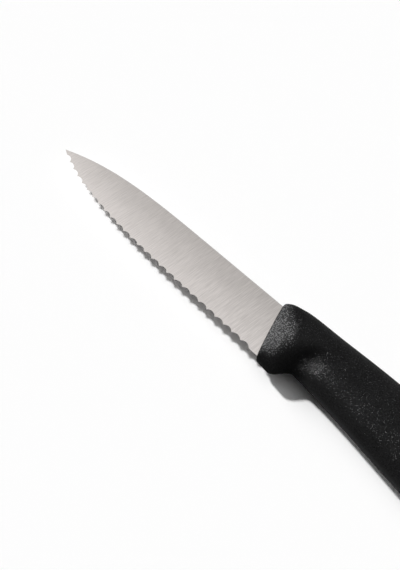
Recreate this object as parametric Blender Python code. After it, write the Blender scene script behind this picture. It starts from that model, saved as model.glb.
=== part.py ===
"""Serrated paring knife: a stainless blade with a ground wavy edge and a hidden tang, and a black
moulded handle formed round that tang. The knife lies on its right side, as it would on a table.

Metres. Each piece is drawn in the knife's own frame: x runs along the knife, with the heel of the
blade at 0, the point at -x and the butt at +x; y runs from the edge up to the spine; z = 0 is the
middle of the sheet, and +z is the left face, which looks up. An empty then tilts and lifts the knife
on to the table, with the middle of its footprint at the world origin.
"""

import bisect
import math

import bmesh
import bpy
from mathutils import Matrix, Vector, geometry

MM = 0.001

# Blade outline
BLADE_LENGTH = 100.4 * MM
BLADE_WIDTH = 17.6 * MM  # heel to spine
SPINE_SLOPE = 0.018  # steady fall of the spine toward the point
SPINE_BEND_AT = 30 * MM  # where the spine starts to curve down
SPINE_BEND_POWER = 4
POINT_HEIGHT = 8.5 * MM  # above the straight part of the edge
BELLY_AT = 38 * MM  # where the edge leaves its straight line
BELLY_REACH = 38 * MM  # how far that straight direction carries on into the curve
BELLY_LEAD = Vector((9.4 * MM, 5.1 * MM))  # direction and strength of the curve at the point

# Blade section
SHEET = 1.2 * MM
EDGE_SHEET = 0.72 * MM  # thickness left just above the serrations
POINT_SHARE = 0.6  # thickness at the point as a share of that at the heel
SPINE_BREAK = 0.15 * MM  # broken corner along the spine

# Serrated edge
TOOTH_PITCH = 3.55 * MM
TOOTH_DEPTH = 0.86 * MM
PLAIN_POINT = 2.5 * MM
PLAIN_HEEL = 3.4 * MM
GRIND_RISE = 3.1 * MM  # how far up the right face each flute reaches
STEPS_PER_TOOTH = 8
STEPS_PER_PLAIN = 4

# Tang
HEEL_SEAT = 1.2 * MM  # how far the full-width steel reaches in behind the heel
TANG_LENGTH = 76 * MM
TANG_LOW = 4.6 * MM
TANG_WIDTH = 9.0 * MM
TANG_END_WIDTH = 6.0 * MM
TANG_LAP = 1.0 * MM  # how far the tang's full sheet starts ahead of the heel
ANCHOR_HOLE_RADIUS = 1.75 * MM
ANCHOR_HOLES = (22 * MM, 56 * MM)
HOLE_SIDES = 20
MOULD_GAP = 0.3 * MM  # clearance of the pocket all round the steel

# Handle outline, along stations that lean with its front
HANDLE_LENGTH = 108 * MM
HANDLE_LEAN = math.tan(math.radians(21))
FRONT_DROP = 0.95 * MM
GUARD_AT = 4.7 * MM
GUARD_DROP = 1.4 * MM
NOTCH_AT = 12.4 * MM
NOTCH_RISE = 3.3 * MM
GRIP_AT = 62 * MM
GRIP_DROP = 1.0 * MM
HOLLOW_AT = 84 * MM
HOLLOW_DROP = 0.4 * MM
BEAK_AT = 103 * MM
BEAK_DROP = 3.2 * MM
FRONT_RISE = 0.5 * MM  # plastic over the spine, at the front lip
SHOULDER_AT = 4.8 * MM
SHOULDER_RISE = 2.5 * MM
BACK_AT = 44 * MM
BACK_RISE = 4.8 * MM
BACK_END_RISE = 1.0 * MM

# Handle thickness, as half of it
LIP_HALF = 3.2 * MM
FACET_AT = 6 * MM  # the side rises from the lip to the collar in an almost straight slope
FACET_HALF = 5.15 * MM
COLLAR_AT = 9 * MM
COLLAR_HALF = 5.9 * MM
WAIST_AT = 24 * MM
WAIST_HALF = 5.6 * MM
PALM_AT = 66 * MM
PALM_HALF = 6.85 * MM
BUTT_HALF = 6.3 * MM
COLLAR_POWER = 3.0  # spine side of the section there: 2 is an ellipse, more is squarer
LIP_POWER = 2.8  # edge side of the section at the lip, full enough to close round the heel
GUARD_POWER = 1.7  # edge side of the section at the guard, which is thinner than an ellipse
WAIST_POWER = 2.2
GRIP_POWER = 2.3
SECTION_EGG = 0.04  # how much thicker the back of the handle is than its edge side
LIP_ROUND = 0.7 * MM
BUTT_ROUND = 8 * MM
BUTT_POWER = 2.3
BUTT_TURN = math.radians(80)  # how far round its curve the butt goes before its flat end
SCOOP_AT = Vector((10.0 * MM, 5.0 * MM))  # finger scoop on each side, behind the collar
SCOOP_DEPTH = 2.4 * MM
SCOOP_REACH = 4.2 * MM
SCOOP_TOP = 18 * MM
SCOOP_SWEEP = 0.06 / MM  # how fast it curves toward the butt, away from its middle

# Rings of the handle
POINTS_ROUND = 44
LIP_STEPS = 3
FRONT_STEPS = 16
GRIP_STEPS = 28
BUTT_STEPS = 8

# Flat lands that the knife lies on, under the collar and the palm
LAND_DEPTH = 0.2 * MM
LAND_SHARE = 0.9  # size of the four-cornered land as a share of the flat that it is left from
LAND_STEP = 0.1 * MM  # how far the flat is cut back round it

STEEL = ("steel", (0.60, 0.58, 0.56, 1.0), 0.34, 1.0)
PLASTIC = ("black_plastic", (0.012, 0.012, 0.013, 1.0), 0.42, 0.0)


def clear_scene():
    for thing in list(bpy.data.objects):
        bpy.data.objects.remove(thing, do_unlink=True)


def material(name, colour, roughness, metallic):
    finish = bpy.data.materials.new(name)
    finish.use_nodes = True
    shader = finish.node_tree.nodes["Principled BSDF"]
    shader.inputs["Base Color"].default_value = colour
    shader.inputs["Roughness"].default_value = roughness
    shader.inputs["Metallic"].default_value = metallic
    return finish


def smooth_line(points, lead=0.0):
    """A curve through (place, value) points that never swings past one of them.

    It starts level, or with lead times the slope of its first step.
    """
    places = [place for place, _ in points]
    values = [value for _, value in points]
    steps = [(v1 - v0) / (p1 - p0) for p0, p1, v0, v1 in zip(places, places[1:], values, values[1:])]
    slopes = [lead * steps[0]]
    for before, after in zip(steps, steps[1:]):
        turns = before * after <= 0
        slopes.append(0.0 if turns else 2 * before * after / (before + after))
    slopes.append(0.0)

    def value_at(place):
        i = min(max(bisect.bisect(places, place) - 1, 0), len(steps) - 1)
        span = places[i + 1] - places[i]
        u = min(max((place - places[i]) / span, 0.0), 1.0)
        start = values[i] * (1 + 2 * u) + slopes[i] * span * u
        end = values[i + 1] * (3 - 2 * u) - slopes[i + 1] * span * (1 - u)
        return start * (1 - u) ** 2 + end * u**2

    return value_at


def spine_height(x):
    """Height of the spine: a slight steady fall, then a bend that steepens toward the point."""
    straight = BLADE_WIDTH + SPINE_SLOPE * x
    bend = min(max((-x - SPINE_BEND_AT) / (BLADE_LENGTH - SPINE_BEND_AT), 0.0), 1.0)
    fall = BLADE_WIDTH - SPINE_SLOPE * BLADE_LENGTH - POINT_HEIGHT
    return straight - fall * bend**SPINE_BEND_POWER


class EdgeLine:
    """The line through the tooth tips, walked by its length from the point to the heel."""

    def __init__(self):
        point = Vector((-BLADE_LENGTH, POINT_HEIGHT))
        start = Vector((-BELLY_AT, 0.0))
        ahead = start - Vector((BELLY_REACH, 0.0))
        behind = point + Vector((BELLY_LEAD.x, -BELLY_LEAD.y))
        belly = geometry.interpolate_bezier(point, behind, ahead, start, 160)
        self.points = [p.to_2d() for p in belly] + [Vector((HEEL_SEAT, 0.0))]
        self.lengths = [0.0]
        for a, b in zip(self.points, self.points[1:]):
            self.lengths.append(self.lengths[-1] + (b - a).length)
        self.to_heel = self.lengths[-1] - HEEL_SEAT

    def at(self, length):
        """The place at this length along the line, and the direction into the steel there."""
        i = min(max(bisect.bisect(self.lengths, length) - 1, 0), len(self.points) - 2)
        a, b = self.points[i], self.points[i + 1]
        share = (length - self.lengths[i]) / (self.lengths[i + 1] - self.lengths[i])
        along = (b - a).normalized()
        return a.lerp(b, share), Vector((-along.y, along.x))


def tooth_steps(line):
    """(length along the edge line, depth of the edge behind it) for every step of the edge."""
    count = max(round((line.to_heel - PLAIN_POINT - PLAIN_HEEL) / TOOTH_PITCH), 1)
    pitch = (line.to_heel - PLAIN_POINT - PLAIN_HEEL) / count
    radius = pitch**2 / (8 * TOOTH_DEPTH) + TOOTH_DEPTH / 2
    steps = [(PLAIN_POINT * i / STEPS_PER_PLAIN, 0.0) for i in range(STEPS_PER_PLAIN)]
    for tooth in range(count):
        for i in range(STEPS_PER_TOOTH):
            across = (i / STEPS_PER_TOOTH - 0.5) * pitch
            depth = math.sqrt(radius**2 - across**2) - (radius - TOOTH_DEPTH)
            steps.append((PLAIN_POINT + (tooth + 0.5) * pitch + across, depth))
    start, end = PLAIN_POINT + count * pitch, line.to_heel + HEEL_SEAT
    plain = [start] + spread(start, end, STEPS_PER_PLAIN)
    return steps + [(length, 0.0) for length in plain]


def half_sheet(x, y):
    """Half the blade's thickness: full at the heel's spine, thinner toward the edge and the point."""
    up = min(max(y / spine_height(x), 0.0), 1.0)
    along = min(max(-x / BLADE_LENGTH, 0.0), 1.0)
    full = EDGE_SHEET + (SHEET - EDGE_SHEET) * up
    return full / 2 * (1 - (1 - POINT_SHARE) * along)


def blade_columns():
    """One closed ring of points for each step of the edge: left face, spine, right face and grind.

    Each flute is ground from the right at one slant, so its outline on the right face is the
    scallop of the edge carried GRIND_RISE farther in, and the cutting edge lies on the left face.
    """
    line = EdgeLine()
    columns = []
    for length, depth in tooth_steps(line):
        tip_line, inward = line.at(length)
        edge = tip_line + inward * depth
        x = edge.x
        room = max(spine_height(x) - edge.y, 0.0)
        corner = min(SPINE_BREAK, room / 4)
        top = spine_height(x)
        left = half_sheet(x, top)
        rise, share = inward * GRIND_RISE, 1.0
        while share > 0 and edge.y + rise.y * share > spine_height(x + rise.x * share) - corner:
            share -= 0.02
        share = max(share, 0.0)
        ground = edge + rise * share
        edge_z = half_sheet(x, edge.y)
        ground_z = edge_z - share * (edge_z + half_sheet(ground.x, ground.y))
        right = -left if share == 1 else max(ground_z, -left)
        columns.append([
            Vector((x, edge.y, edge_z)),
            Vector((x, top - corner, half_sheet(x, top - corner))),
            Vector((x, top, left - min(corner, left / 2))),
            Vector((x, top, right + min(corner, (left - right) / 4))),
            Vector((x, top - corner, right)),
            Vector((ground.x, ground.y, ground_z)),
        ])
    return columns


def mesh_object(name, mesh_data, finish=None):
    mesh = bpy.data.meshes.new(name)
    mesh_data.to_mesh(mesh)
    mesh_data.free()
    thing = bpy.data.objects.new(name, mesh)
    bpy.context.collection.objects.link(thing)
    if finish:
        mesh.materials.append(finish)
    return thing


def loft(rings):
    """A closed body through rings of points, capped at both ends."""
    body = bmesh.new()
    rows = [[body.verts.new(point) for point in ring] for ring in rings]
    for low, high in zip(rows, rows[1:]):
        for i in range(len(low)):
            j = (i + 1) % len(low)
            body.faces.new((low[i], low[j], high[j], high[i]))
    body.faces.new(rows[0])
    body.faces.new(reversed(rows[-1]))
    bmesh.ops.remove_doubles(body, verts=body.verts, dist=MM / 1000)
    bmesh.ops.dissolve_degenerate(body, edges=body.edges, dist=MM / 1000)
    bmesh.ops.recalc_face_normals(body, faces=body.faces)
    return body


def plate(outline, half):
    """A flat plate with this outline, half thick on each side of z = 0."""
    body = bmesh.new()
    face = body.faces.new([body.verts.new((p.x, p.y, -half)) for p in outline])
    side = bmesh.ops.extrude_face_region(body, geom=[face])
    upper = [v for v in side["geom"] if isinstance(v, bmesh.types.BMVert)]
    bmesh.ops.translate(body, vec=(0, 0, 2 * half), verts=upper)
    bmesh.ops.recalc_face_normals(body, faces=body.faces)
    return body


def tang_outline(gap, front):
    """The tang from its front to its rounded end, grown by gap."""
    middle = TANG_LOW + TANG_WIDTH / 2
    end_radius = TANG_END_WIDTH / 2 + gap
    centre = Vector((TANG_LENGTH - TANG_END_WIDTH / 2, middle))
    turn = [math.radians(-90 + 15 * i) for i in range(13)]
    end = [centre + end_radius * Vector((math.cos(a), math.sin(a))) for a in turn]
    half = TANG_WIDTH / 2 + gap
    return [Vector((front, middle - half))] + end + [Vector((front, middle + half))]


def cutter(name, mesh_data):
    thing = mesh_object(name, mesh_data)
    thing.hide_render = True
    thing.display_type = "WIRE"
    return thing


def boolean(thing, other, operation):
    step = thing.modifiers.new(other.name, "BOOLEAN")
    step.object = other
    step.operation = operation
    step.solver = "EXACT"


def round_bar(radius, centre):
    """An upright round bar, longer than the sheet is thick, for an anchor hole."""
    body = bmesh.new()
    deep = 8 * SHEET
    place = Matrix.Translation(centre)
    bmesh.ops.create_cone(
        body, cap_ends=True, segments=HOLE_SIDES, radius1=radius, radius2=radius, depth=deep, matrix=place
    )
    return body


def anchor_places():
    return [Vector((x, TANG_LOW + TANG_WIDTH / 2, 0)) for x in ANCHOR_HOLES]


def build_blade(knife, finish):
    blade = mesh_object("blade", loft(blade_columns()), finish)
    tang = cutter("tang_sheet", plate(tang_outline(0, -TANG_LAP), SHEET / 2))
    boolean(blade, tang, "UNION")
    for number, place in enumerate(anchor_places()):
        hole = cutter(f"anchor_hole_{number}", round_bar(ANCHOR_HOLE_RADIUS, place))
        boolean(blade, hole, "DIFFERENCE")
        hole.parent = knife
    for thing in (blade, tang):
        thing.parent = knife
    return blade


def handle_lines():
    """Lower and upper outline, half thickness and both section powers of the handle, by station."""
    lower = smooth_line([
        (0, -FRONT_DROP),
        (GUARD_AT, -GUARD_DROP),
        (NOTCH_AT, NOTCH_RISE),
        (GRIP_AT, -GRIP_DROP),
        (HOLLOW_AT, -HOLLOW_DROP),
        (BEAK_AT, -BEAK_DROP),
        (HANDLE_LENGTH, -BEAK_DROP),
    ])
    upper = smooth_line([
        (0, BLADE_WIDTH + FRONT_RISE),
        (SHOULDER_AT, BLADE_WIDTH + SHOULDER_RISE),
        (BACK_AT, BLADE_WIDTH + BACK_RISE),
        (HANDLE_LENGTH, BLADE_WIDTH + BACK_END_RISE),
    ], 2)
    half = smooth_line([
        (0, LIP_HALF),
        (FACET_AT, FACET_HALF),
        (COLLAR_AT, COLLAR_HALF),
        (WAIST_AT, WAIST_HALF),
        (PALM_AT, PALM_HALF),
        (HANDLE_LENGTH, BUTT_HALF),
    ], 1.1)
    spine_power = smooth_line([
        (GUARD_AT, COLLAR_POWER),
        (WAIST_AT, GRIP_POWER),
        (HANDLE_LENGTH, GRIP_POWER),
    ])
    edge_power = smooth_line([
        (0, LIP_POWER),
        (GUARD_AT, GUARD_POWER),
        (WAIST_AT, WAIST_POWER),
        (PALM_AT, GRIP_POWER),
        (HANDLE_LENGTH, GRIP_POWER),
    ])
    return lower, upper, half, spine_power, edge_power


def stations():
    """Places along the handle: close together at its ends and its notch, wider along the grip."""
    lip = [LIP_ROUND * (1 - math.cos(turn)) for turn in spread(0, math.pi / 2, LIP_STEPS)]
    front = spread(LIP_ROUND, NOTCH_AT, FRONT_STEPS)
    start = HANDLE_LENGTH - BUTT_ROUND
    grip = spread(NOTCH_AT, start, GRIP_STEPS)
    butt = [start + BUTT_ROUND * math.sin(turn) for turn in spread(0, BUTT_TURN, BUTT_STEPS)]
    return [0.0] + lip + front + grip + butt


def spread(start, end, count):
    return [start + (end - start) * i / count for i in range(1, count + 1)]


def scoop(x, y):
    """Depth of the finger scoop below the handle's side, deepest by the notch and fading upward."""
    middle = SCOOP_AT.x + SCOOP_SWEEP * (y - SCOOP_AT.y) ** 2
    fade = min(max((SCOOP_TOP - y) / (SCOOP_TOP - SCOOP_AT.y), 0.0), 1.0)
    return SCOOP_DEPTH * math.exp(-(((x - middle) / SCOOP_REACH) ** 2)) * fade**2 * (3 - 2 * fade)


def signed_power(value, power):
    return math.copysign(abs(value) ** power, value)


def handle_ring(station, lines):
    """One leaning section of the handle: an egg, thicker toward its back, with the scoops taken off."""
    lower, upper, half, spine_power, edge_power = (line(station) for line in lines)
    lip = LIP_ROUND - math.sqrt(max(LIP_ROUND**2 - max(LIP_ROUND - station, 0.0) ** 2, 0.0))
    into_butt = max(station - (HANDLE_LENGTH - BUTT_ROUND), 0.0) / BUTT_ROUND
    shrink = (1 - into_butt**BUTT_POWER) ** (1 / BUTT_POWER)
    middle, reach = (lower + upper) / 2, (upper - lower) / 2
    ring = []
    for i in range(POINTS_ROUND):
        angle = 2 * math.pi * i / POINTS_ROUND
        power = spine_power if math.cos(angle) > 0 else edge_power
        up = signed_power(math.cos(angle), 2 / power)
        side = signed_power(math.sin(angle), 2 / power) * (1 + SECTION_EGG * up)
        y = middle + (reach * shrink - lip) * up
        x = station - HANDLE_LEAN * y
        ring.append(Vector((x, y, ((half - scoop(x, y)) * shrink - lip) * side)))
    return ring


def pocket_outline():
    """The blade's slot in the front of the handle, which the heel and the spine fit in."""
    ahead, back = -BLADE_WIDTH, HEEL_SEAT + MOULD_GAP
    low, high = -MOULD_GAP, BLADE_WIDTH + MOULD_GAP
    return [Vector((ahead, low)), Vector((back, low)), Vector((back, high)), Vector((ahead, high))]


def build_handle(knife, finish):
    lines = handle_lines()
    handle = mesh_object("handle", loft([handle_ring(s, lines) for s in stations()]), finish)
    handle.parent = knife
    room = SHEET / 2 + MOULD_GAP
    pocket = cutter("tang_pocket", plate(tang_outline(MOULD_GAP, -TANG_LAP), room))
    slot = cutter("blade_slot", plate(pocket_outline(), room))
    for number, place in enumerate(anchor_places()):
        pin = cutter(f"anchor_pin_{number}", round_bar(ANCHOR_HOLE_RADIUS - MOULD_GAP, place))
        boolean(pocket, pin, "DIFFERENCE")
        pin.parent = knife
    for thing in (pocket, slot):
        boolean(handle, thing, "DIFFERENCE")
        thing.parent = knife
    return handle


def lie_down(knife, handle):
    """Tilt the knife so that collar and palm both touch the table, and sink it by LAND_DEPTH."""
    tilt = math.atan2(PALM_HALF - COLLAR_HALF, PALM_AT - COLLAR_AT)
    knife.rotation_euler = (0, -tilt, 0)
    turn = knife.rotation_euler.to_matrix()
    lowest = min((turn @ vertex.co).z for vertex in handle.data.vertices)
    knife.location.z = -lowest - LAND_DEPTH


def centre_footprint(knife, pieces):
    bpy.context.view_layer.update()
    places = [piece.matrix_world @ v.co for piece in pieces for v in piece.data.vertices]
    for axis in (0, 1):
        values = [place[axis] for place in places]
        knife.location[axis] = -(min(values) + max(values)) / 2
    bpy.context.view_layer.update()


def table_block(name, top):
    """A block wider than the knife that reaches from well under the table up to top."""
    block = bmesh.new()
    deep = 20 * LAND_DEPTH
    size = Matrix.Diagonal((4 * HANDLE_LENGTH, 4 * BLADE_WIDTH, top + deep, 1))
    bmesh.ops.create_cube(block, size=1, matrix=Matrix.Translation((0, 0, (top - deep) / 2)) @ size)
    return cutter(name, block)


def land_outline(flat):
    """Four corners near the ends of a flat's outline, going round it."""
    xs, ys = [p.x for p in flat], [p.y for p in flat]
    middle = Vector((sum(xs) / len(xs), sum(ys) / len(ys)))
    length, width = max(xs) - min(xs), max(ys) - min(ys)
    corners = []
    for side, end in ((-1, -1), (1, -1), (1, 1), (-1, 1)):
        farthest = max(flat, key=lambda p: side * p.x / length + end * p.y / width)
        corners.append(middle.lerp(farthest, LAND_SHARE))
    return corners


def cut_lands(handle):
    """Cut the handle flat where it lies on the table, and leave one four-cornered land in each flat."""
    boolean(handle, table_block("table", 0.0), "DIFFERENCE")
    bpy.context.view_layer.update()
    cut = handle.evaluated_get(bpy.context.evaluated_depsgraph_get())
    places = [cut.matrix_world @ v.co for v in cut.data.vertices]
    touching = [p.to_2d() for p in places if abs(p.z) < LAND_STEP / 100]
    between = min(p.x for p in touching) + (PALM_AT - COLLAR_AT) / 2
    relief = table_block("relief", LAND_STEP)
    for name, flat in (
        ("collar_land", [p for p in touching if p.x < between]),
        ("palm_land", [p for p in touching if p.x > between]),
    ):
        boolean(relief, cutter(name, plate(land_outline(flat), 40 * LAND_DEPTH)), "DIFFERENCE")
    boolean(handle, relief, "DIFFERENCE")


def shade_smooth(thing, sharp_over):
    thing.data.shade_smooth()
    thing.data.set_sharp_from_angle(angle=math.radians(sharp_over))


def main():
    clear_scene()
    knife = bpy.data.objects.new("knife", None)
    bpy.context.collection.objects.link(knife)
    blade = build_blade(knife, material(*STEEL))
    handle = build_handle(knife, material(*PLASTIC))
    lie_down(knife, handle)
    centre_footprint(knife, [blade, handle])
    cut_lands(handle)
    shade_smooth(blade, 12)
    shade_smooth(handle, 40)


main()
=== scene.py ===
# %% [markdown]
# # A serrated paring knife
#
# This notebook dresses a small kitchen knife: a stamped stainless blade with a wavy edge, in a
# black handle moulded round its tang. The solids are already drawn and packed, so the first step
# only brings them in. They stay where they are, and each finished piece is built in their place.

# %% Bring in the packed solids
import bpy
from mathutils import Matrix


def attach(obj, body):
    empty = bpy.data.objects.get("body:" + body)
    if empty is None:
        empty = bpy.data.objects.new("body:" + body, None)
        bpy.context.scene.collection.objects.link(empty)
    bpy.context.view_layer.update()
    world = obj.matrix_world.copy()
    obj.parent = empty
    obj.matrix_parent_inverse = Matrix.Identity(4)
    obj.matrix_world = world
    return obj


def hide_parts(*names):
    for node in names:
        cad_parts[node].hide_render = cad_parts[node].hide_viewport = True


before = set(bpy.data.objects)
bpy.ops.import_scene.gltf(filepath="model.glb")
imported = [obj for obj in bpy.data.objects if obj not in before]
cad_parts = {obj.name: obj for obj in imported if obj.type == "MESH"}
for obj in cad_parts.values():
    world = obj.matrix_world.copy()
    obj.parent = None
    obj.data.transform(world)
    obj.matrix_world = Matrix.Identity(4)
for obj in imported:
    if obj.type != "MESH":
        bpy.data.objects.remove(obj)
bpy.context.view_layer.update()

# %% [markdown]
# ## Working in the knife's own directions
#
# A knife is easiest to draw along itself: x from the point to the butt with the heel of the blade
# at 0, y from the edge up to the spine, and z = 0 in the middle of the sheet. On the table it lies
# on the collar and the palm of its handle, and the palm is thicker, so the nose points down by
# about a degree. One matrix holds that tilt and the place of the heel. Every piece is drawn flat
# and level, and the matrix then lays its mesh down. Rotating the objects would look the same, but
# this way they stay at the origin, as the solids do, and their place is in their meshes.

# %% The pose of the knife on the table
import bisect
import math

import bmesh
import bpy
from mathutils import Matrix, Vector, geometry

MM = 0.001
PALM_HALF, COLLAR_HALF = 6.85 * MM, 5.9 * MM
PALM_AT, COLLAR_AT = 66 * MM, 9 * MM
NOSE_DOWN = -math.atan2(PALM_HALF - COLLAR_HALF, PALM_AT - COLLAR_AT)
HEEL_PLACE = Vector((-2.989, -9.671, 5.649)) * MM
LYING = Matrix.Translation(HEEL_PLACE) @ Matrix.Rotation(NOSE_DOWN, 4, "Y")
print(f"nose down by {-math.degrees(NOSE_DOWN):.2f} degrees")

# %% [markdown]
# ## Small tools for meshes
#
# Both pieces are lofts: a row of closed rings, each joined to the next by a strip of faces. A cap
# closes each end. Extruding one outline would be shorter, but here no two slices are alike. A plate
# does have one outline, and serves for what is added or cut away. The cuts are carried out at once,
# so that no cutter is left in the scene, and the last helper lays the finished mesh down.

# %% Rings, plates and cuts
WELD_WITHIN = MM / 2000


def clamp(value, low=0.0, high=1.0):
    return min(max(value, low), high)


def spread(start, end, count):
    """Even steps from start, which is left out, to end."""
    return [start + (end - start) * i / count for i in range(1, count + 1)]


def new_piece(name, body):
    mesh = bpy.data.meshes.new(name)
    body.to_mesh(mesh)
    body.free()
    piece = bpy.data.objects.new(name, mesh)
    bpy.context.scene.collection.objects.link(piece)
    return piece


def loft(rings):
    body = bmesh.new()
    rows = [[body.verts.new(point) for point in ring] for ring in rings]
    for low, high in zip(rows, rows[1:]):
        for i in range(len(low)):
            j = (i + 1) % len(low)
            body.faces.new((low[i], low[j], high[j], high[i]))
    body.faces.new(rows[0])
    body.faces.new(reversed(rows[-1]))
    bmesh.ops.remove_doubles(body, verts=body.verts, dist=WELD_WITHIN)
    bmesh.ops.dissolve_degenerate(body, edges=body.edges, dist=WELD_WITHIN)
    bmesh.ops.recalc_face_normals(body, faces=body.faces)
    return body


def plate(outline, half_at):
    """A plate with this outline. half_at(y) is half its thickness at that height."""
    body = bmesh.new()
    sides = [[body.verts.new((p.x, p.y, s * half_at(p.y))) for p in outline] for s in (-1, 1)]
    body.faces.new(sides[0])
    body.faces.new(reversed(sides[1]))
    for i in range(len(outline)):
        j = (i + 1) % len(outline)
        body.faces.new((sides[0][i], sides[0][j], sides[1][j], sides[1][i]))
    bmesh.ops.recalc_face_normals(body, faces=body.faces)
    return body


def carve(piece, *steps):
    """Join or cut the piece with each (operation, body), and keep only the result."""
    tools = []
    for operation, body in steps:
        tool = new_piece("tool", body)
        change = piece.modifiers.new("step", "BOOLEAN")
        change.operation, change.object, change.solver = operation, tool, "EXACT"
        tools.append(tool)
    graph = bpy.context.evaluated_depsgraph_get()
    old, piece.data = piece.data, bpy.data.meshes.new_from_object(piece.evaluated_get(graph))
    piece.modifiers.clear()
    bpy.data.meshes.remove(old)
    for tool in tools:
        bpy.data.objects.remove(tool, do_unlink=True)


def lay_down(piece):
    """Turn the finished mesh as the knife lies. What would sink into the table is pressed flat."""
    piece.data.transform(LYING)
    for vertex in piece.data.vertices:
        vertex.co.z = max(vertex.co.z, 0.0)


print(f"points within {WELD_WITHIN / MM} mm of each other count as one")

# %% [markdown]
# ## The outline of the blade
#
# The spine runs almost straight and bends down over the front two thirds of the blade. A little
# farther on the edge leaves its own straight line and sweeps up to meet it in a fine point. A
# fourth power gives the spine its slow start. The edge is a Bezier curve, drawn by its two ends and
# a handle at each. It is walked by its own length, because the wheel that grinds the waves steps
# evenly along the edge and not along the knife.

# %% Spine and edge line
BLADE_LENGTH, BLADE_WIDTH = 100.4 * MM, 17.6 * MM
SPINE_SLOPE, SPINE_BEND_AT, SPINE_BEND_POWER = 0.018, 30 * MM, 4
POINT_HEIGHT = 8.5 * MM
BELLY_AT, BELLY_STEPS = 38 * MM, 160
BELLY_HANDLE, POINT_HANDLE = 38 * MM, Vector((9.4 * MM, 5.1 * MM))
HEEL_SEAT = 1.2 * MM  # how far the blade goes on into the handle


def spine_height(x):
    straight = BLADE_WIDTH + SPINE_SLOPE * x
    bend = clamp((-x - SPINE_BEND_AT) / (BLADE_LENGTH - SPINE_BEND_AT))
    fall = BLADE_WIDTH - SPINE_SLOPE * BLADE_LENGTH - POINT_HEIGHT
    return straight - fall * bend**SPINE_BEND_POWER


class EdgeLine:
    """The line through the tooth tips, walked by its length from the point to the heel."""

    def __init__(self):
        point, start = Vector((-BLADE_LENGTH, POINT_HEIGHT)), Vector((-BELLY_AT, 0.0))
        ahead = start - Vector((BELLY_HANDLE, 0.0))
        behind = point + Vector((POINT_HANDLE.x, -POINT_HANDLE.y))
        belly = geometry.interpolate_bezier(point, behind, ahead, start, BELLY_STEPS)
        self.points = [p.to_2d() for p in belly] + [Vector((HEEL_SEAT, 0.0))]
        self.lengths = [0.0]
        for a, b in zip(self.points, self.points[1:]):
            self.lengths.append(self.lengths[-1] + (b - a).length)
        self.to_heel = self.lengths[-1] - HEEL_SEAT

    def at(self, length):
        """The place at this length, and the direction from there into the steel."""
        i = clamp(bisect.bisect(self.lengths, length) - 1, 0, len(self.points) - 2)
        a, b = self.points[i], self.points[i + 1]
        share = (length - self.lengths[i]) / (self.lengths[i + 1] - self.lengths[i])
        along = (b - a).normalized()
        return a.lerp(b, share), Vector((-along.y, along.x))


EDGE = EdgeLine()
print(f"edge line {1000 * EDGE.to_heel:.1f} mm long")

# %% [markdown]
# ## The waves
#
# Each wave is a shallow arc that the grinding wheel leaves between two tooth tips. Knives of this
# kind are ground on one side only. Here that is the right, so the left face stays flat down to the
# very edge, and on the right each wave runs up the steel as a flute. Drawing the arcs straight into
# the rings keeps every cusp exactly sharp, which a Boolean with 27 small cutters would not do as
# cleanly.

# %% Steps of the wavy edge
TOOTH_PITCH, TOOTH_DEPTH = 3.55 * MM, 0.86 * MM
PLAIN_POINT, PLAIN_HEEL = 2.5 * MM, 3.4 * MM
STEPS_PER_TOOTH, STEPS_PER_PLAIN = 22, 8


def tooth_steps():
    """(length along the edge line, depth of the edge behind it) for every step of the edge."""
    count = round((EDGE.to_heel - PLAIN_POINT - PLAIN_HEEL) / TOOTH_PITCH)
    pitch = (EDGE.to_heel - PLAIN_POINT - PLAIN_HEEL) / count
    radius = pitch**2 / (8 * TOOTH_DEPTH) + TOOTH_DEPTH / 2
    steps = [(length, 0.0) for length in [0.0] + spread(0.0, PLAIN_POINT, STEPS_PER_PLAIN)[:-1]]
    for tooth in range(count):
        for i in range(STEPS_PER_TOOTH):
            across = (i / STEPS_PER_TOOTH - 0.5) * pitch
            depth = math.sqrt(radius**2 - across**2) - (radius - TOOTH_DEPTH)
            steps.append((PLAIN_POINT + (tooth + 0.5) * pitch + across, depth))
    start, end = PLAIN_POINT + count * pitch, EDGE.to_heel + HEEL_SEAT
    plain = [start] + spread(start, end, STEPS_PER_PLAIN)
    print(f"{count} waves, {1000 * pitch:.2f} mm apart")
    return steps + [(length, 0.0) for length in plain]


edge_steps = tooth_steps()

# %% [markdown]
# ## The section of the blade
#
# The sheet is 1.2 mm thick at the heel's spine and thins toward the edge and the point. Its spine
# corners are just broken, which is the thin dark line that a knife shows along its back. Each ring
# below is one slice across the blade: up the flat left face, round the spine, down the right face,
# and along the flute to the edge. Near the point a flute no longer fits under the spine, so only
# the share of it that fits is drawn.

# %% Slices across the blade
SHEET, EDGE_SHEET, POINT_SHARE = 1.2 * MM, 0.72 * MM, 0.6
SPINE_BREAK, CORNER_STEPS = 0.15 * MM, 3
CORNER_MOST, FACE_ROWS = 0.25, 5
FLUTE_RISE, SHARE_STEP = 3.1 * MM, 0.02


def half_sheet(x, y):
    full = EDGE_SHEET + (SHEET - EDGE_SHEET) * clamp(y / spine_height(x))
    return full / 2 * (1 - (1 - POINT_SHARE) * clamp(-x / BLADE_LENGTH))


def flute_top(edge, inward, corner):
    """Where the flute of this slice runs out on the right face, and how much of its length fits."""
    rise, share = inward * FLUTE_RISE, 1.0
    while share > 0 and edge.y + rise.y * share > spine_height(edge.x + rise.x * share) - corner:
        share -= SHARE_STEP
    share = max(share, 0.0)
    return edge + rise * share, share


def broken_corner(x, top, corner, face, inset, turns):
    """Points round one corner of the spine, between this face and the top."""
    points = []
    for turn in turns:
        y = top - corner * (1 - math.sin(turn))
        points.append(Vector((x, y, face + inset * (1 - math.cos(turn)))))
    return points


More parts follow.
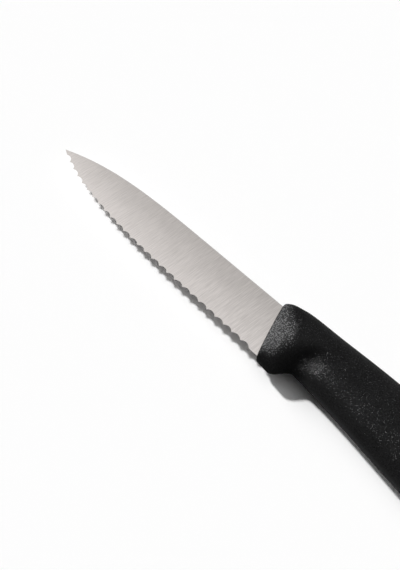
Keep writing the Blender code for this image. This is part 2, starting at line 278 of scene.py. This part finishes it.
def blade_ring(length, depth):
    tip_line, inward = EDGE.at(length)
    edge = tip_line + inward * depth
    x, top = edge.x, spine_height(edge.x)
    corner = min(SPINE_BREAK, max(top - edge.y, 0.0) * CORNER_MOST)
    left, edge_z = half_sheet(x, top), half_sheet(x, edge.y)
    ground, share = flute_top(edge, inward, corner)
    ground_z = edge_z - share * (edge_z + half_sheet(ground.x, ground.y))
    right = -left if share == 1 else max(ground_z, -left)
    ring = [Vector((x, edge.y, edge_z))]
    for y in spread(edge.y, top - corner, FACE_ROWS):
        ring.append(Vector((x, y, half_sheet(x, y))))
    up, down = spread(0, math.pi / 2, CORNER_STEPS), spread(math.pi / 2, 0, CORNER_STEPS)
    ring += broken_corner(x, top, corner, left, -min(corner, left / 2), up)
    ring += broken_corner(x, top, corner, right, min(corner, (left - right) * CORNER_MOST), down)
    ring.append(Vector((ground.x, ground.y, ground_z)))
    return ring


blade_rings = [blade_ring(*step) for step in edge_steps]
print(len(blade_rings), "slices of", len(blade_rings[0]), "points")

# %% [markdown]
# ## The tang
#
# Nobody sees the tang, but it is what holds the knife together: a narrower tongue of the same
# sheet, with two round holes that the plastic flows through. It is drawn as a plate, joined to the
# blade, and drilled. The pocket inside the handle later uses the same outline.

# %% Tang outline and anchor holes
TANG_LENGTH, TANG_LOW, TANG_WIDTH, TANG_END_WIDTH = 76 * MM, 4.6 * MM, 9 * MM, 6 * MM
TANG_LAP, TANG_END_STEPS = 1 * MM, 24
TANG_MIDDLE = TANG_LOW + TANG_WIDTH / 2
ANCHOR_HOLE_RADIUS, ANCHOR_HOLES, HOLE_SIDES = 1.75 * MM, (22 * MM, 56 * MM), 48
BAR_HALF = 4 * SHEET


def tang_outline(gap):
    centre, half = Vector((TANG_LENGTH - TANG_END_WIDTH / 2, TANG_MIDDLE)), TANG_WIDTH / 2 + gap
    turns = [math.radians(-90 + 180 * i / TANG_END_STEPS) for i in range(TANG_END_STEPS + 1)]
    end = [centre + (TANG_END_WIDTH / 2 + gap) * Vector((math.cos(a), math.sin(a))) for a in turns]
    low, high = Vector((-TANG_LAP, TANG_MIDDLE - half)), Vector((-TANG_LAP, TANG_MIDDLE + half))
    return [low] + end + [high]


def round_bar(radius, x):
    turns = [2 * math.pi * i / HOLE_SIDES for i in range(HOLE_SIDES)]
    centre = Vector((x, TANG_MIDDLE))
    outline = [centre + radius * Vector((math.cos(a), math.sin(a))) for a in turns]
    return plate(outline, lambda y: BAR_HALF)


blade = new_piece("ground_blade", loft(blade_rings))
carve(
    blade,
    ("UNION", plate(tang_outline(0), lambda y: SHEET / 2)),
    *[("DIFFERENCE", round_bar(ANCHOR_HOLE_RADIUS, x)) for x in ANCHOR_HOLES],
)
lay_down(blade)
print("blade:", len(blade.data.polygons), "faces")

# %% [markdown]
# ## The outline of the handle
#
# The handle is moulded, so nothing on it is straight: a blunt collar, a small guard that keeps the
# finger off the heel, a notch behind it, a long swelling grip and a beak at the butt. Three curves
# along its length say how low, how high and how thick each section is, and two more how square its
# back and its edge side are. The curves go through a few chosen points and never swing past one,
# which a plain spline would do.


# %% Curves along the handle
def smooth_line(points, lead=0.0):
    """A curve through (place, value) points. It starts level, or with lead times its first slope."""
    places, values = zip(*points)
    steps = [(v1 - v0) / (p1 - p0) for (p0, v0), (p1, v1) in zip(points, points[1:])]
    slopes = [lead * steps[0]]
    for before, after in zip(steps, steps[1:]):
        slopes.append(0.0 if before * after <= 0 else 2 * before * after / (before + after))
    slopes.append(0.0)

    def value_at(place):
        i = clamp(bisect.bisect(places, place) - 1, 0, len(steps) - 1)
        span = places[i + 1] - places[i]
        u = clamp((place - places[i]) / span)
        start = values[i] * (1 + 2 * u) + slopes[i] * span * u
        end = values[i + 1] * (3 - 2 * u) - slopes[i + 1] * span * (1 - u)
        return start * (1 - u) ** 2 + end * u**2

    return value_at


HANDLE_LENGTH, HANDLE_LEAN = 108 * MM, math.tan(math.radians(21))
GUARD_AT, NOTCH_AT, WAIST_AT = 4.7 * MM, 12.4 * MM, 24 * MM
LOWER = smooth_line([
    (0, -0.95 * MM),  # front lip
    (GUARD_AT, -1.4 * MM),
    (NOTCH_AT, 3.3 * MM),
    (62 * MM, -1.0 * MM),  # palm
    (84 * MM, -0.4 * MM),  # hollow before the beak
    (103 * MM, -3.2 * MM),  # beak
    (HANDLE_LENGTH, -3.2 * MM),
])
UPPER = smooth_line([
    (0, BLADE_WIDTH + 0.5 * MM),  # front lip
    (4.8 * MM, BLADE_WIDTH + 2.5 * MM),  # top of the collar
    (44 * MM, BLADE_WIDTH + 4.8 * MM),  # top of the back
    (HANDLE_LENGTH, BLADE_WIDTH + 1.0 * MM),
], lead=2)
HALF = smooth_line([
    (0, 3.2 * MM),  # front lip
    (6 * MM, 5.15 * MM),  # shoulder of the collar
    (COLLAR_AT, COLLAR_HALF),
    (WAIST_AT, 5.6 * MM),
    (PALM_AT, PALM_HALF),
    (HANDLE_LENGTH, 6.3 * MM),
], lead=1.1)
SPINE_POWER = smooth_line([(GUARD_AT, 3.0), (WAIST_AT, 2.3), (HANDLE_LENGTH, 2.3)])
EDGE_POWER = smooth_line([
    (0, 2.4),
    (GUARD_AT, 1.7),
    (8 * MM, 1.5),  # where the guard is pinched most
    (WAIST_AT, 2.2),
    (PALM_AT, 2.3),
    (HANDLE_LENGTH, 2.3),
])
print(f"grip {1000 * (UPPER(WAIST_AT) - LOWER(WAIST_AT)):.1f} mm deep at the waist")

# %% [markdown]
# ## Sculpting the handle
#
# Each section is a superellipse, a circle pulled toward a rounded box, and it leans with the front
# of the handle. Round the guard the power on the edge side drops below 2, which pinches it thin.
# The finger scoops behind the collar are a soft dent subtracted from the thickness, swept back as
# they rise. A sculptor would push them in with a brush. A formula does the same here and can be
# turned up or down, so the dark hollow between the collar and the ridge of the grip falls where it
# should.

# %% Sections of the handle
LIP_ROUND, BUTT_ROUND, BUTT_POWER, BUTT_TURN = 0.7 * MM, 8 * MM, 2.3, math.radians(88)
SECTION_EGG = 0.04  # share by which a section is thicker toward the back and thinner below
SCOOP_AT, SCOOP_DEPTH, SCOOP_REACH = Vector((10.0 * MM, 5.0 * MM)), 2.4 * MM, 4.2 * MM
SCOOP_TOP, SCOOP_SWEEP = 18 * MM, 0.06 / MM
POINTS_ROUND, LIP_STEPS, FRONT_STEPS, GRIP_STEPS, BUTT_STEPS = 144, 7, 40, 120, 22


def scoop(x, y):
    middle = SCOOP_AT.x + SCOOP_SWEEP * (y - SCOOP_AT.y) ** 2
    fade = clamp((SCOOP_TOP - y) / (SCOOP_TOP - SCOOP_AT.y))
    return SCOOP_DEPTH * math.exp(-(((x - middle) / SCOOP_REACH) ** 2)) * fade**2 * (3 - 2 * fade)


def signed_power(value, power):
    return math.copysign(abs(value) ** power, value)


def handle_ring(station):
    lower, upper, half = (line(station) for line in (LOWER, UPPER, HALF))
    lip = LIP_ROUND - math.sqrt(LIP_ROUND**2 - max(LIP_ROUND - station, 0.0) ** 2)
    into_butt = max(station - (HANDLE_LENGTH - BUTT_ROUND), 0.0) / BUTT_ROUND
    shrink = (1 - into_butt**BUTT_POWER) ** (1 / BUTT_POWER)
    middle, reach = (lower + upper) / 2, (upper - lower) / 2
    ring = []
    for i in range(POINTS_ROUND):
        angle = 2 * math.pi * i / POINTS_ROUND
        power = SPINE_POWER(station) if math.cos(angle) > 0 else EDGE_POWER(station)
        up = signed_power(math.cos(angle), 2 / power)
        side = signed_power(math.sin(angle), 2 / power) * (1 + SECTION_EGG * up)
        y = middle + (reach * shrink - lip) * up
        x = station - HANDLE_LEAN * y
        ring.append(Vector((x, y, ((half - scoop(x, y)) * shrink - lip) * side)))
    return ring


def stations():
    lip = [LIP_ROUND * (1 - math.cos(turn)) for turn in spread(0, math.pi / 2, LIP_STEPS)]
    start = HANDLE_LENGTH - BUTT_ROUND
    butt = [start + BUTT_ROUND * math.sin(turn) for turn in spread(0, BUTT_TURN, BUTT_STEPS)]
    front, grip = spread(LIP_ROUND, NOTCH_AT, FRONT_STEPS), spread(NOTCH_AT, start, GRIP_STEPS)
    return [0.0] + lip + front + grip + butt


handle_rings = [handle_ring(station) for station in stations()]
print(len(handle_rings), "sections of", POINTS_ROUND, "points")

# %% [markdown]
# ## Closing the plastic round the steel
#
# The plastic shrinks on to the steel in the mould, so where the blade goes in there is a fine line
# and no gap. The slot is cut with a wedge that follows the sheet's own taper, a fiftieth of a
# millimetre clear. What would then sink under the table is pressed flat. That makes one small patch
# on the collar and one on the palm, and the knife lies on these two.

# %% Handle with its slot, pocket and resting patches
FIT = 0.02 * MM


def slot_half(y):
    return (EDGE_SHEET + (SHEET - EDGE_SHEET) * clamp(y / BLADE_WIDTH)) / 2 + FIT


def slot_outline():
    ahead, back = -BLADE_WIDTH, HEEL_SEAT + FIT
    low, high = -FIT, BLADE_WIDTH + FIT
    return [Vector((ahead, low)), Vector((back, low)), Vector((back, high)), Vector((ahead, high))]


handle = new_piece("moulded_handle", loft(handle_rings))
carve(
    handle,
    ("DIFFERENCE", plate(slot_outline(), slot_half)),
    ("DIFFERENCE", plate(tang_outline(FIT), lambda y: SHEET / 2 + FIT)),
    *[("UNION", round_bar(ANCHOR_HOLE_RADIUS - FIT, x)) for x in ANCHOR_HOLES],
)
lay_down(handle)
print("handle:", len(handle.data.polygons), "faces")

# %% [markdown]
# ## Smooth shading with crisp corners
#
# A ground cusp or a slot's edge has to stay crisp, while the moulded skin flows. Blender marks
# edges sharper than an angle and smooths the rest, and a Weighted Normal modifier lets the large
# faces rule the small ones beside them, so that a flat stays flat to the eye.


# %% Shade both pieces
def shade(piece, sharp_over):
    """Smooth the piece, except across edges that turn by more degrees than sharp_over."""
    piece.data.shade_smooth()
    piece.data.set_sharp_from_angle(angle=math.radians(sharp_over))
    even = piece.modifiers.new("even_normals", "WEIGHTED_NORMAL")
    even.keep_sharp = True
    print(piece.name, "smooth up to", sharp_over, "degrees")


shade(blade, sharp_over=14)
shade(handle, sharp_over=35)

# %% [markdown]
# ## Shader sums as plain Python
#
# Materials are sums on values that vary over the surface. Written as nodes they are hard to read,
# so a small class wraps a socket: adding or multiplying two of them adds the Math node. A Math node
# would turn a colour grey, so colours go through Mix, and numbers become a vector in Combine XYZ.
# Those come from `node`, as every other kind does.


# %% Values, nodes and node trees
class Value:
    """A node's output that can be added, multiplied and so on like a number."""

    def __init__(self, tree, socket):
        self.tree, self.socket = tree, socket

    def _math(self, operation, a, b):
        return node(self.tree, "ShaderNodeMath", {"operation": operation}, {0: a, 1: b})

    def __add__(self, other):
        return self._math("ADD", self, other)

    def __sub__(self, other):
        return self._math("SUBTRACT", self, other)

    def __rsub__(self, other):
        return self._math("SUBTRACT", other, self)

    def __mul__(self, other):
        return self._math("MULTIPLY", self, other)

    def __abs__(self):
        return self._math("ABSOLUTE", self, 0.0)

    def at_most(self, other):
        return self._math("MINIMUM", self, other)

    __radd__, __rmul__ = __add__, __mul__


def node(tree, kind, settings=None, sockets=None, output=0):
    """Add a node: its settings first, then the values or links of its sockets."""
    made = tree.nodes.new(kind)
    for name, value in (settings or {}).items():
        setattr(made, name, value)
    for key, value in (sockets or {}).items():
        if isinstance(value, Value):
            tree.links.new(value.socket, made.inputs[key])
        else:
            made.inputs[key].default_value = value
    return Value(tree, made.outputs[output]) if made.outputs else None


def empty_tree(owner):
    """The node tree of a material or world, with nothing in it."""
    owner.use_nodes = True
    owner.node_tree.nodes.clear()
    return owner.node_tree


print("sums that also work from the right:", [name for name in vars(Value) if name.startswith("__r")])

# %% [markdown]
# ## Words for what the finishes share
#
# Every finish here starts from the knife's own coordinates in millimetres, so that a number in a
# material is a size that could be measured on the knife. The meshes already lie on the table, so a
# Mapping node takes their tilt and place away again. `soft_step` turns a place into a mask that
# goes from 0 at its start to 1 at its end, `between` turns a mask into a range of values, `grain`
# is noise with its own size along each direction, and `blend_of` mixes two colours.

# %% Coordinates, masks, grain and colours
OBJECT_COORDINATES = 3
MIX_FACTOR, MIX_FROM, MIX_TO, MIX_RESULT = 0, 6, 7, 2  # the Mix node's sockets for colours
NOISE_RANGE = (0.3, 0.7)


def new_finish(name):
    finish = bpy.data.materials.new(name)
    tree = empty_tree(finish)
    place = node(tree, "ShaderNodeTexCoord", output=OBJECT_COORDINATES)
    upright = {"Location": HEEL_PLACE, "Rotation": (0, NOSE_DOWN, 0), "Scale": (MM, MM, MM)}
    in_mm = node(tree, "ShaderNodeMapping", {"vector_type": "TEXTURE"}, {"Vector": place, **upright})
    split = node(tree, "ShaderNodeSeparateXYZ", None, {0: in_mm}).socket.node
    return finish, tree, [Value(tree, split.outputs[axis]) for axis in "XYZ"]


def soft_step(value, start, end):
    settings = {"interpolation_type": "SMOOTHSTEP", "clamp": True}
    sockets = {"Value": value, "From Min": start, "From Max": end}
    return node(value.tree, "ShaderNodeMapRange", settings, sockets)


def between(mask, low, high):
    return low + mask * (high - low)


def grain(x, y, z, size, detail=2.0):
    """Noise whose features are about size = (along x, along y, along z) millimetres."""
    sockets = {"X": x * (1 / size[0]), "Y": y * (1 / size[1]), "Z": z * (1 / size[2])}
    where = node(x.tree, "ShaderNodeCombineXYZ", None, sockets)
    return node(x.tree, "ShaderNodeTexNoise", None, {"Vector": where, "Scale": 1.0, "Detail": detail})


def pebble_grain(x, y, z, size):
    """Round and plain noise of one size in millimetres."""
    return grain(x, y, z, (size, size, size), detail=0.0)


def blend_of(mask, low, high, way="MIX"):
    settings = {"data_type": "RGBA", "blend_type": way}
    sockets = {MIX_FACTOR: mask, MIX_FROM: low, MIX_TO: high}
    return node(mask.tree, "ShaderNodeMix", settings, sockets, MIX_RESULT)


def shade_with(mask, colour, shade):
    """Darken the colour by the shade, as far as the mask says."""
    return blend_of(mask, colour, shade, way="MULTIPLY")


def bump(height, depth_mm, strength=1.0):
    sockets = {"Strength": strength, "Distance": depth_mm * MM, "Height": height}
    return node(height.tree, "ShaderNodeBump", None, sockets)


def shader_of(tree, sockets):
    return node(tree, "ShaderNodeBsdfPrincipled", None, sockets)


def finish_with(shader):
    node(shader.tree, "ShaderNodeOutputMaterial", None, {"Surface": shader})


print(f"finishes measure in mm from the heel, at {[round(v / MM, 2) for v in HEEL_PLACE]}")

# %% [markdown]
# ## Brushed steel
#
# The blade is finished on a belt, whose grit leaves fine lines straight across it from edge to
# spine. An anisotropic shader would stretch its highlights in the same way, but show no single
# line. So two sheets of noise, stretched along the lines, give the coarse and the fine ones. They
# change the colour and the roughness a little and the surface hardly at all, because on a real
# blade the lines are seen rather than felt. Over them a painted reflection makes the steel warm and
# pale near the edge and greyer toward the spine, and a broad cloud of noise keeps the change uneven.

# %% Steel of the blade
# pale end and grey end of the painted reflection across the blade
STEEL_LIT_BY_EDGE, STEEL_SHADED_BY_SPINE = (0.565, 0.532, 0.514, 1), (0.432, 0.406, 0.390, 1)
PAINTED_SHADE_MM, CLOUD_SHIFT_MM = (3.0, 22.0), 8.0
COARSE_LINE, FINE_LINE, CLOUD = (0.3, 12.0, 40.0), (0.17, 4.5, 40.0), (10.0, 7.0, 40.0)
COARSE_SHARE = 0.4
LINE_SHADE, LINE_SHARE = (0.45, 0.45, 0.45, 1), 0.6
BELT_ROUGHNESS, LINE_DEPTH_MM = (0.27, 0.37), 0.012


def brushed_steel():
    finish, tree, (x, y, z) = new_finish("brushed_steel")
    coarse = soft_step(grain(x, y, z, COARSE_LINE), *NOISE_RANGE)
    fine = soft_step(grain(x, y, z, FINE_LINE), *NOISE_RANGE)
    lines = coarse * COARSE_SHARE + fine * (1 - COARSE_SHARE)
    # painted reflection: from the pale colour by the edge to the grey one toward the spine
    painted_shade_up = soft_step(y + grain(x, y, z, CLOUD) * CLOUD_SHIFT_MM, *PAINTED_SHADE_MM)
    plain = blend_of(painted_shade_up, STEEL_LIT_BY_EDGE, STEEL_SHADED_BY_SPINE)
    finish_with(shader_of(tree, {
        "Base Color": shade_with(lines * LINE_SHARE, plain, LINE_SHADE),
        "Metallic": 1.0,
        "Roughness": between(lines, *BELT_ROUGHNESS),
        "Normal": bump(lines, LINE_DEPTH_MM, strength=0.5),
    }))
    print(finish.name, "has", len(tree.nodes), "nodes")
    return finish


blade.data.materials.clear()
blade.data.materials.append(brushed_steel())

# %% [markdown]
# ## Ground flutes
#
# A flute is cut by the rim of a wheel, so its marks run along it, up from the edge, and they are
# finer and brighter than the belt's. It gets a finish of its own, on the faces that lean away from
# the flat right side. Those are found by their normals: they look down, but neither straight down
# nor out to the side nor along the knife, and they lie ahead of the tang.

# %% Steel of the flutes
STEEL_CUT, CUT_MARK = (0.60, 0.58, 0.565, 1), (0.12, 3.0, 3.0)
CUT_ROUGHNESS, CUT_DEPTH_MM = (0.2, 0.32), 0.01
LEAST_DOWN, MOST_DOWN, MOST_ALONG = 0.3, 0.995, 0.9


def ground_steel():
    finish, tree, (x, y, z) = new_finish("ground_steel")
    marks = grain(x, y, z, CUT_MARK)
    finish_with(shader_of(tree, {
        # the flutes start from the pale colour of the painted reflection
        "Base Color": blend_of(marks, STEEL_LIT_BY_EDGE, STEEL_CUT),
        "Metallic": 1.0,
        "Roughness": between(marks, *CUT_ROUGHNESS),
        "Normal": bump(marks, CUT_DEPTH_MM, strength=0.6),
    }))
    return finish


def mark_flutes(piece):
    """Give the second finish to the slanted faces of the grind, and count them."""
    flutes = 0
    for face in piece.data.polygons:
        slanted = LEAST_DOWN < -face.normal.z < MOST_DOWN and abs(face.normal.x) < MOST_ALONG
        if slanted and face.center.x < 0:
            face.material_index = 1
            flutes += 1
    print(flutes, "faces on the flutes")


blade.data.materials.append(ground_steel())
mark_flutes(blade)

# %% [markdown]
# ## Painted sheen on the slope, painted shade in the scoop
#
# On the slope behind the front lip a painted sheen lies on the colour: a pale haze with pale specks
# for painted glints, standing in for the light that this slope catches. The patch is widest half
# way up and thins out toward the grip. The finger scoop gets painted shade instead, darker and less
# glossy. Each of the two is a mask: a product of soft steps, one for each side on which it fades.
# Painting such masks by hand would also work, but these follow the scoop if its place or sweep
# changes. A pair of numbers below says where a soft step starts and ends, and a loss is the share
# that the step takes away.

# %% Masks of the painted sheen and the painted shade
SHEEN_BACK_MM, SHEEN_LIP_MM, SHEEN_NARROWS = (11.0, 6.5), (0.0, 0.6), 0.72
SHEEN_MIDDLE_MM, SHEEN_LOW_MM = 9.0, (0.0, 4.0)
SHEEN_HIGH_MM, SHEEN_HIGH_LOSS = (9.0, 15.0), 0.35
SHEEN_FADE_MM, SHEEN_FADE_LOSS = (0.0, 8.0), 0.5
# where the painted shade of the finger scoop lies
SCOOP_SHADE_ACROSS_MM, SCOOP_SHADE_UP_MM = (6.0, 1.0), (17.0, 9.0)


# painted sheen: the slope behind the lip is painted pale, as if it caught the lamps
def painted_slope_sheen(behind_lip, y):
    from_middle = abs(y - SHEEN_MIDDLE_MM) * SHEEN_NARROWS
    sheen = soft_step(behind_lip + from_middle, *SHEEN_BACK_MM) * soft_step(behind_lip, *SHEEN_LIP_MM)
    sheen = sheen * soft_step(y, *SHEEN_LOW_MM) * (1 - soft_step(y, *SHEEN_HIGH_MM) * SHEEN_HIGH_LOSS)
    return sheen * (1 - soft_step(behind_lip, *SHEEN_FADE_MM) * SHEEN_FADE_LOSS)


# painted shade: darker in the finger scoop, fading across it and upward
def painted_scoop_shade(x, y):
    rise = y - SCOOP_AT.y / MM
    from_scoop = abs(x - SCOOP_AT.x / MM - rise * rise * (SCOOP_SWEEP * MM))
    return soft_step(from_scoop, *SCOOP_SHADE_ACROSS_MM) * soft_step(y, *SCOOP_SHADE_UP_MM)


# where the painted sheen ends, and where the painted shade of the scoop lies
print(f"worn up to {SHEEN_BACK_MM[0]} mm behind the front lip, dull round x = {SCOOP_AT.x / MM:.0f} mm")

# %% [markdown]
# ## Black moulded plastic
#
# The mould was spark eroded, which leaves a pebbled grain of less than half a millimetre. Under a
# lamp each pebble throws its own tiny glint, and between the lamps the plastic is almost black. So
# the finish is a matt black under a thin, bright, mirror-like one, and a Fresnel node keeps the
# second one weak where the skin faces the eye. Toward the rim it would grow into a pale outline,
# which real pebbles prevent by hiding one another, so its growth is capped. Two sizes of noise make
# the pebbles uneven, as the sparks did. Pale specks of painted glint crowd on the slope of painted
# sheen, with a few elsewhere, the finger scoop is painted darker, and a hairline of flash runs round
# the handle where the halves of the mould met.

# %% Plastic of the handle
PLASTIC_DARK, PLASTIC_PALE = (0.0004, 0.0004, 0.0005, 1), (0.0048, 0.0048, 0.0051, 1)
PEBBLE_MM, PEBBLE_DEPTH_MM, PEBBLE_SHARE = 0.36, 0.15, 0.55
PATCH, PATCH_TONE, PEBBLE_TONE, SPECK_TONE = (9.0, 7.0, 7.0), 0.3, 0.4, 0.3
TONE_RANGE, PLASTIC_ROUGHNESS, PLASTIC_IOR = (0.36, 0.64), (0.4, 0.5), 1.5
FLASH_MM, FLASH_RISE = (0.0, 0.12), 0.25
# grey of the painted sheen and painted glints, and how much of each is laid on
PAINTED_SHEEN_GREY, SHEEN_HAZE_SHARE, GLINT_SPECK_SHARE = (0.135, 0.135, 0.137, 1), 0.18, 0.75
GLINT_SPECK_MM, GLINT_SPECK_RANGE, GLINT_SPECK_LIFT = 0.34, (0.62, 0.78), 0.18
GLINT_SPECK_ON_SHEEN, GLINT_SPECKS_ON_SLOPE, GLINT_SPECKS_ELSEWHERE, GLINT_SPECK_UP_MM = (0.0, 0.2), 0.8, 0.2, (2.0, 14.0)
GLOSS_SHARE, GLOSS_AT_RIM, GLOSS_ROUGHNESS = 0.2, 0.12, 0.15
# the last one is how much the scoop's painted shade takes from tone and gloss
GLINT_RANGE, SCOOP_SHADE_LOSS = (0.65, 1.35), 0.7
COLLAR_MM, COLLAR_LOSS = (9.5, 7.0), 0.4


# painted glints: pale specks in the colour, thick on the slope of painted sheen and sparse elsewhere
def painted_glint_specks(x, y, z, sheen, scoop_shade):
    glint_noise = pebble_grain(x, y, z, GLINT_SPECK_MM)
    elsewhere = (1 - scoop_shade) * soft_step(y, *GLINT_SPECK_UP_MM) * GLINT_SPECKS_ELSEWHERE
    how_many = soft_step(sheen, *GLINT_SPECK_ON_SHEEN) * GLINT_SPECKS_ON_SLOPE + elsewhere
    return soft_step(glint_noise + sheen * GLINT_SPECK_LIFT, *GLINT_SPECK_RANGE) * how_many


def black_plastic():
    finish, tree, (x, y, z) = new_finish("pebbled_plastic")
    pebbles, specks = pebble_grain(x, y, z, PEBBLE_MM), pebble_grain(x, y, z, PEBBLE_MM / 2)
    patches = grain(x, y, z, PATCH)
    behind_lip = x + y * HANDLE_LEAN
    sheen, scoop_shade = painted_slope_sheen(behind_lip, y), painted_scoop_shade(x, y)
    # painted shade in the scoop darkens the tone and turns the gloss down
    scoop_shade_factor = 1 - scoop_shade * SCOOP_SHADE_LOSS
    # painted sheen and painted glints laid over the base colour
    sheen_and_glints = sheen * SHEEN_HAZE_SHARE + painted_glint_specks(x, y, z, sheen, scoop_shade) * GLINT_SPECK_SHARE
    uneven = patches * PATCH_TONE + pebbles * PEBBLE_TONE + specks * SPECK_TONE
    tone = soft_step(uneven, *TONE_RANGE) * scoop_shade_factor
    flash = 1 - soft_step(abs(z), *FLASH_MM)
    pebbled = pebbles * PEBBLE_SHARE + specks * (1 - PEBBLE_SHARE)
    skin = bump(pebbled + flash * FLASH_RISE, PEBBLE_DEPTH_MM)
    matt = shader_of(tree, {
        "Base Color": blend_of(sheen_and_glints, blend_of(tone, PLASTIC_DARK, PLASTIC_PALE), PAINTED_SHEEN_GREY),
        "Roughness": between(patches, *PLASTIC_ROUGHNESS),
        "Specular IOR Level": 0.0,
        "Normal": skin,
    })
    glints = shader_of(tree, {
        "Base Color": (1, 1, 1, 1),
        "Metallic": 1.0,
        "Roughness": GLOSS_ROUGHNESS,
        "Normal": skin,
    })
    shine = between(soft_step(specks, *NOISE_RANGE), *GLINT_RANGE) * scoop_shade_factor
    shine = shine * (1 - soft_step(behind_lip, *COLLAR_MM) * COLLAR_LOSS)
    toward_rim = node(tree, "ShaderNodeFresnel", None, {"IOR": PLASTIC_IOR}).at_most(GLOSS_AT_RIM)
    gloss = toward_rim * (shine * GLOSS_SHARE)
    finish_with(node(tree, "ShaderNodeMixShader", None, {0: gloss, 1: matt, 2: glints}))
    return finish


handle.data.materials.clear()
handle.data.materials.append(black_plastic())
print("finishes:", [m.name for m in bpy.data.materials if m.users])

# %% [markdown]
# ## Riding on the solids
#
# Each finished piece stands for one packed solid, which is hidden, and rides on the one body,
# because nothing on this knife moves on anything else.

# %% Put the pieces on their body
for piece, solid, slot in ((blade, "blade", "steel"), (handle, "handle", "black_plastic")):
    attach(piece, "root")
    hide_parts(solid)

# %% [markdown]
# ## The floor
#
# The knife lies on plain white. The floor is one wide sheet, matt, so that nothing but the shadow
# shows on it.

# %% White floor
FLOOR_HALF, WHITE_CARD = 2.0, (0.985, 0.985, 0.985, 1)

sheet = bmesh.new()
bmesh.ops.create_grid(sheet, x_segments=1, y_segments=1, size=FLOOR_HALF)
floor = new_piece("floor", sheet)
white = bpy.data.materials.new("white_card")
finish_with(shader_of(empty_tree(white), {
    "Base Color": WHITE_CARD,
    "Roughness": 1.0,
    "Specular IOR Level": 0.0,
}))
floor.data.materials.append(white)
print("floor", 2 * FLOOR_HALF, "m across")

# %% [markdown]
# ## Light
#
# One soft key stands on the side of the point, about 39 degrees up, and its shadow tells where: the
# teeth throw scallops on the table, and the guard a dark crescent. The lamp is a disc five degrees
# across, which blurs the scallops as much as the picture does. The grey inside the crescent fades
# from the guard toward the grip, so some light also slips in low from the same side, as a white
# card would throw it. A wide lamp overhead and the room give the rest. Together they light the
# white floor to just under full white. To the eye and in the steel the room looks white.

# %% Key lamp, card, overhead lamp and room
TOWARD_KEY = Vector((-1.2266, -0.08, 0.9798)).normalized()
TOWARD_CARD = Vector((-1.2266, -0.08, 0.40)).normalized()
OVERHEAD = Vector((0, 0, 1))
KEY_SHARE, CARD_SHARE, TOP_SHARE, ROOM_SHARE = 0.70, 0.17, 0.11, 0.02
SEEN_BY = ("Is Camera Ray", "Is Glossy Ray", "Is Transmission Ray")


def lamp_from(name, toward, share, degrees_across):
    """A distant lamp that gives this share of the light on a level floor."""
    light = bpy.data.lights.new(name, "SUN")
    light.energy = share * math.pi / toward.z
    light.angle = math.radians(degrees_across)
    lamp = bpy.data.objects.new(name, light)
    lamp.rotation_euler = toward.to_track_quat("Z", "Y").to_euler()
    bpy.context.scene.collection.objects.link(lamp)


lamp_from("key", TOWARD_KEY, KEY_SHARE, degrees_across=5)
lamp_from("card", TOWARD_CARD, CARD_SHARE, degrees_across=30)
lamp_from("top", OVERHEAD, TOP_SHARE, degrees_across=60)

room = bpy.data.worlds.new("room")
bpy.context.scene.world = room
walls = empty_tree(room)
rays = node(walls, "ShaderNodeLightPath").socket.node.outputs
camera_ray, glossy_ray, through_ray = [Value(walls, rays[name]) for name in SEEN_BY]
strength = between(camera_ray + glossy_ray + through_ray, ROOM_SHARE, 1)
shown = node(walls, "ShaderNodeBackground", None, {"Color": (1, 1, 1, 1), "Strength": strength})
node(walls, "ShaderNodeOutputWorld", None, {"Surface": shown})
print("key from", [round(v, 2) for v in TOWARD_KEY])

# %% [markdown]
# ## Camera
#
# The even spacing of the teeth makes the blade a ruler, and the way that spacing shrinks toward
# the point gives the angle and the distance of the camera: 25 cm from the middle of the blade, on
# the side of the edge, looking down and along toward the point.

# %% Camera at the photograph's place
PHOTO_HEIGHT_PX, FOCAL_PX, SENSOR_MM = 570, 800, 36.0
EYE_PLACE, EYE_TURN = Vector((65.67, -103.08, 198.96)) * MM, (35.466, -2.086, 47.764)
NEAREST_SEEN = 10 * MM

eye = bpy.data.cameras.new("eye")
eye.sensor_width = SENSOR_MM
eye.lens = FOCAL_PX / PHOTO_HEIGHT_PX * SENSOR_MM
eye.clip_start = NEAREST_SEEN
camera = bpy.data.objects.new("eye", eye)
camera.location = EYE_PLACE
camera.rotation_euler = [math.radians(v) for v in EYE_TURN]
bpy.context.scene.collection.objects.link(camera)
bpy.context.scene.camera = camera
bpy.context.scene.view_settings.view_transform = "Standard"
print(f"lens {eye.lens:.1f} mm")

# %% [markdown]
#
